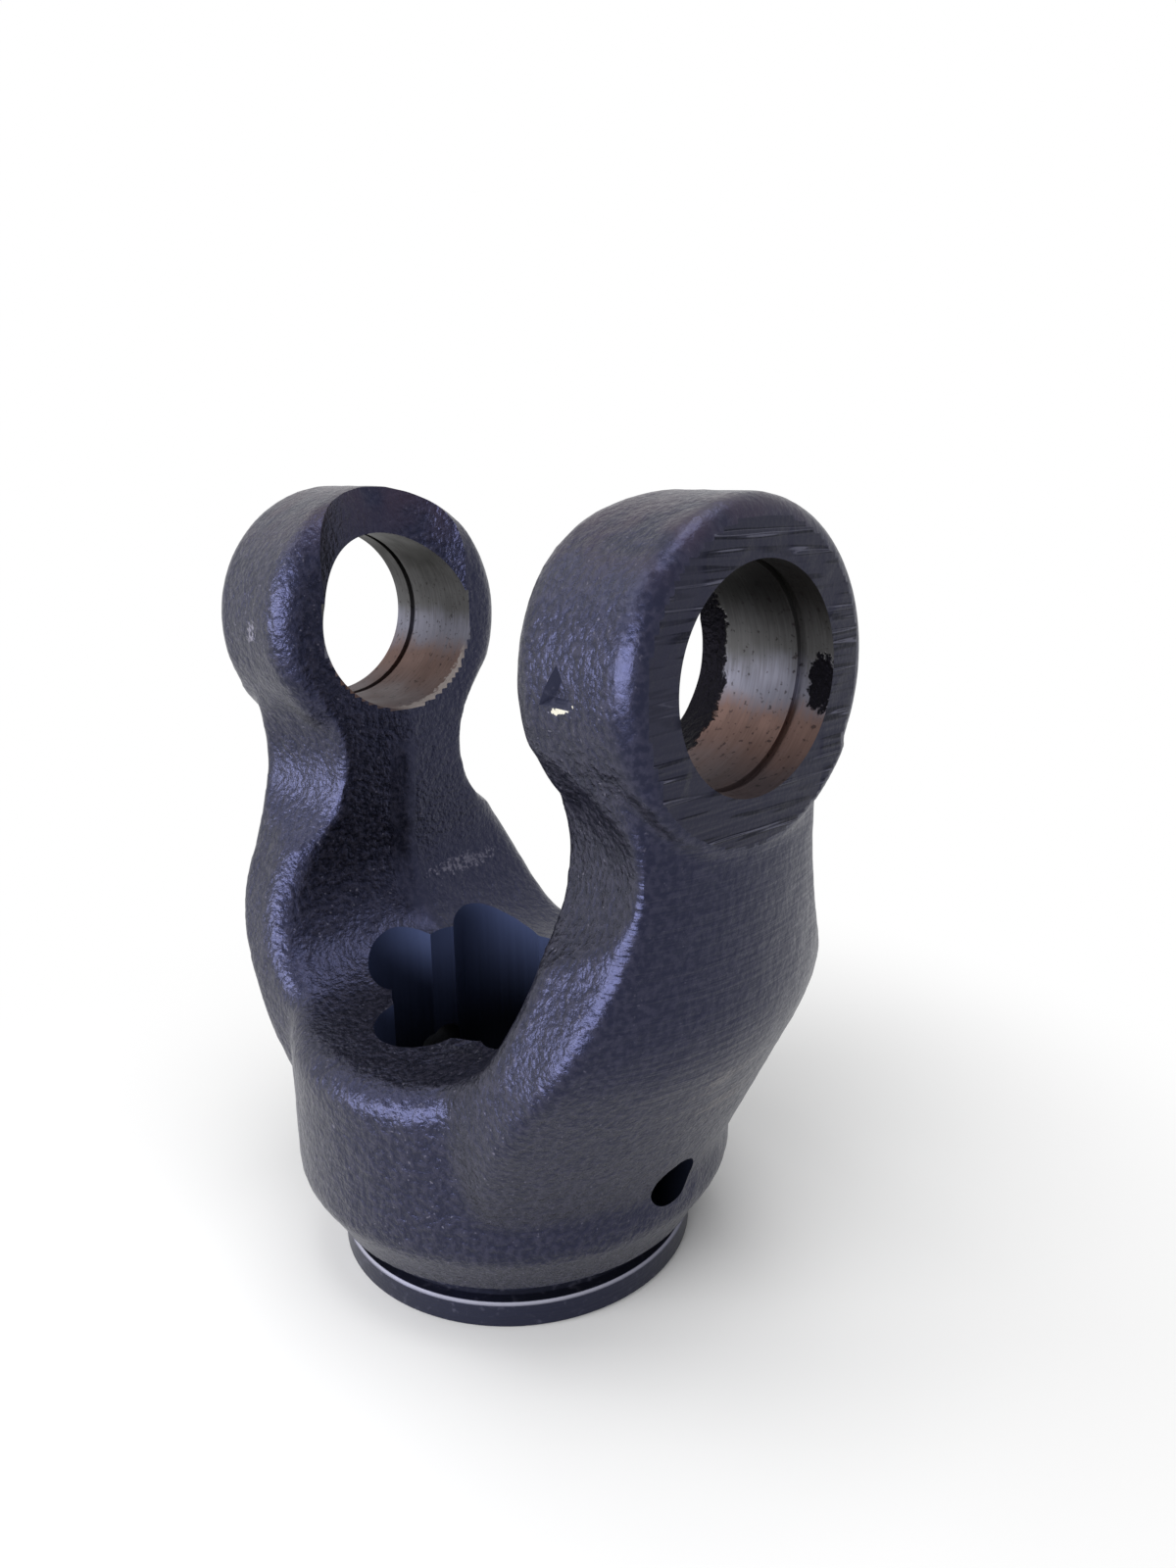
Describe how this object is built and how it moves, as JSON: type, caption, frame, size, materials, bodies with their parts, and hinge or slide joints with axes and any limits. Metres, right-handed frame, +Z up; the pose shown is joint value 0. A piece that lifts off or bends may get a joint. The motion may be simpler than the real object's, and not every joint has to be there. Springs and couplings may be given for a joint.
{
  "type": "forged yoke",
  "caption": "Forged drive-shaft yoke: a hub with a lobed through bore and turned collar, and opposed arms that end in ears bored for a cross.",
  "frame": {"origin": "centre of the bottom flange's flat face, on the shaft axis", "axes": "+Z up the shaft axis from the flange to the ears, +X along the cross-bore axis"},
  "size_m": [0.1204, 0.0868, 0.1466],
  "materials": {
    "forging": "blasted forging skin under a thin satin black coat, with bare bored and ground places"
  },
  "bodies": {
    "root": {"yoke": "forging"}
  },
  "joints": []
}
